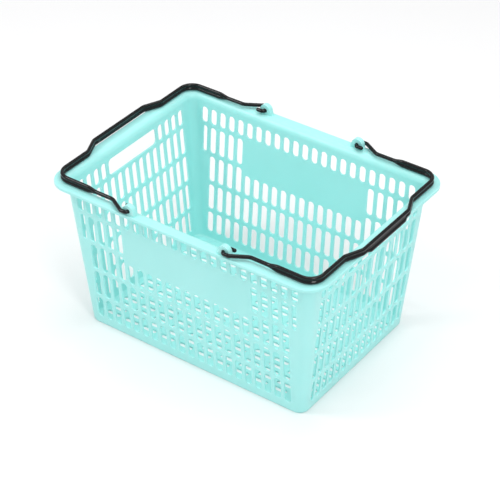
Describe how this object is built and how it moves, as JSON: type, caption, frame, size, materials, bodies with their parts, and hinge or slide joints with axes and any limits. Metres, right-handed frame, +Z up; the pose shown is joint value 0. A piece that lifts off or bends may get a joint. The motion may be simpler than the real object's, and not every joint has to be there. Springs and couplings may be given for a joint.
{
  "type": "shopping basket",
  "caption": "Rectangular plastic supermarket hand basket with slotted walls, a flared rim, blank label panels and two black swinging carry handles.",
  "frame": {"origin": "on the ground under the middle of the basket: the floor plate's underside", "axes": "+X along the basket's length, +Y across it, +Z up; the handles fold out towards +X and -X"},
  "size_m": [0.4954, 0.362, 0.2766],
  "materials": {
    "tub_plastic": "satin moulded polypropylene, aqua",
    "handle_plastic": "glossy black"
  },
  "bodies": {
    "tub": {"basket_floor": "tub_plastic", "front_wall": "tub_plastic", "back_wall": "tub_plastic", "left_wall": "tub_plastic", "right_wall": "tub_plastic", "front_left_corner": "tub_plastic", "front_right_corner": "tub_plastic", "back_left_corner": "tub_plastic", "back_right_corner": "tub_plastic", "front_rim": "tub_plastic", "back_rim": "tub_plastic", "left_rim": "tub_plastic", "right_rim": "tub_plastic", "front_left_rim_corner": "tub_plastic", "front_right_rim_corner": "tub_plastic", "back_left_rim_corner": "tub_plastic", "back_right_rim_corner": "tub_plastic", "front_left_lug": "tub_plastic", "front_right_lug": "tub_plastic", "back_left_lug": "tub_plastic", "back_right_lug": "tub_plastic"},
    "left_handle": {"left_handle": "handle_plastic"},
    "right_handle": {"right_handle": "handle_plastic"}
  },
  "joints": [
    {"name": "right_handle_swing", "type": "hinge", "parent": "tub", "child": "right_handle", "pos_m": [0.085, 0, 0.2671], "axis": [0, -1, 0], "range_deg": [0, 118]},
    {"name": "left_handle_swing", "type": "hinge", "parent": "tub", "child": "left_handle", "pos_m": [-0.085, 0, 0.2671], "axis": [0, 1, 0], "range_deg": [0, 118]}
  ]
}
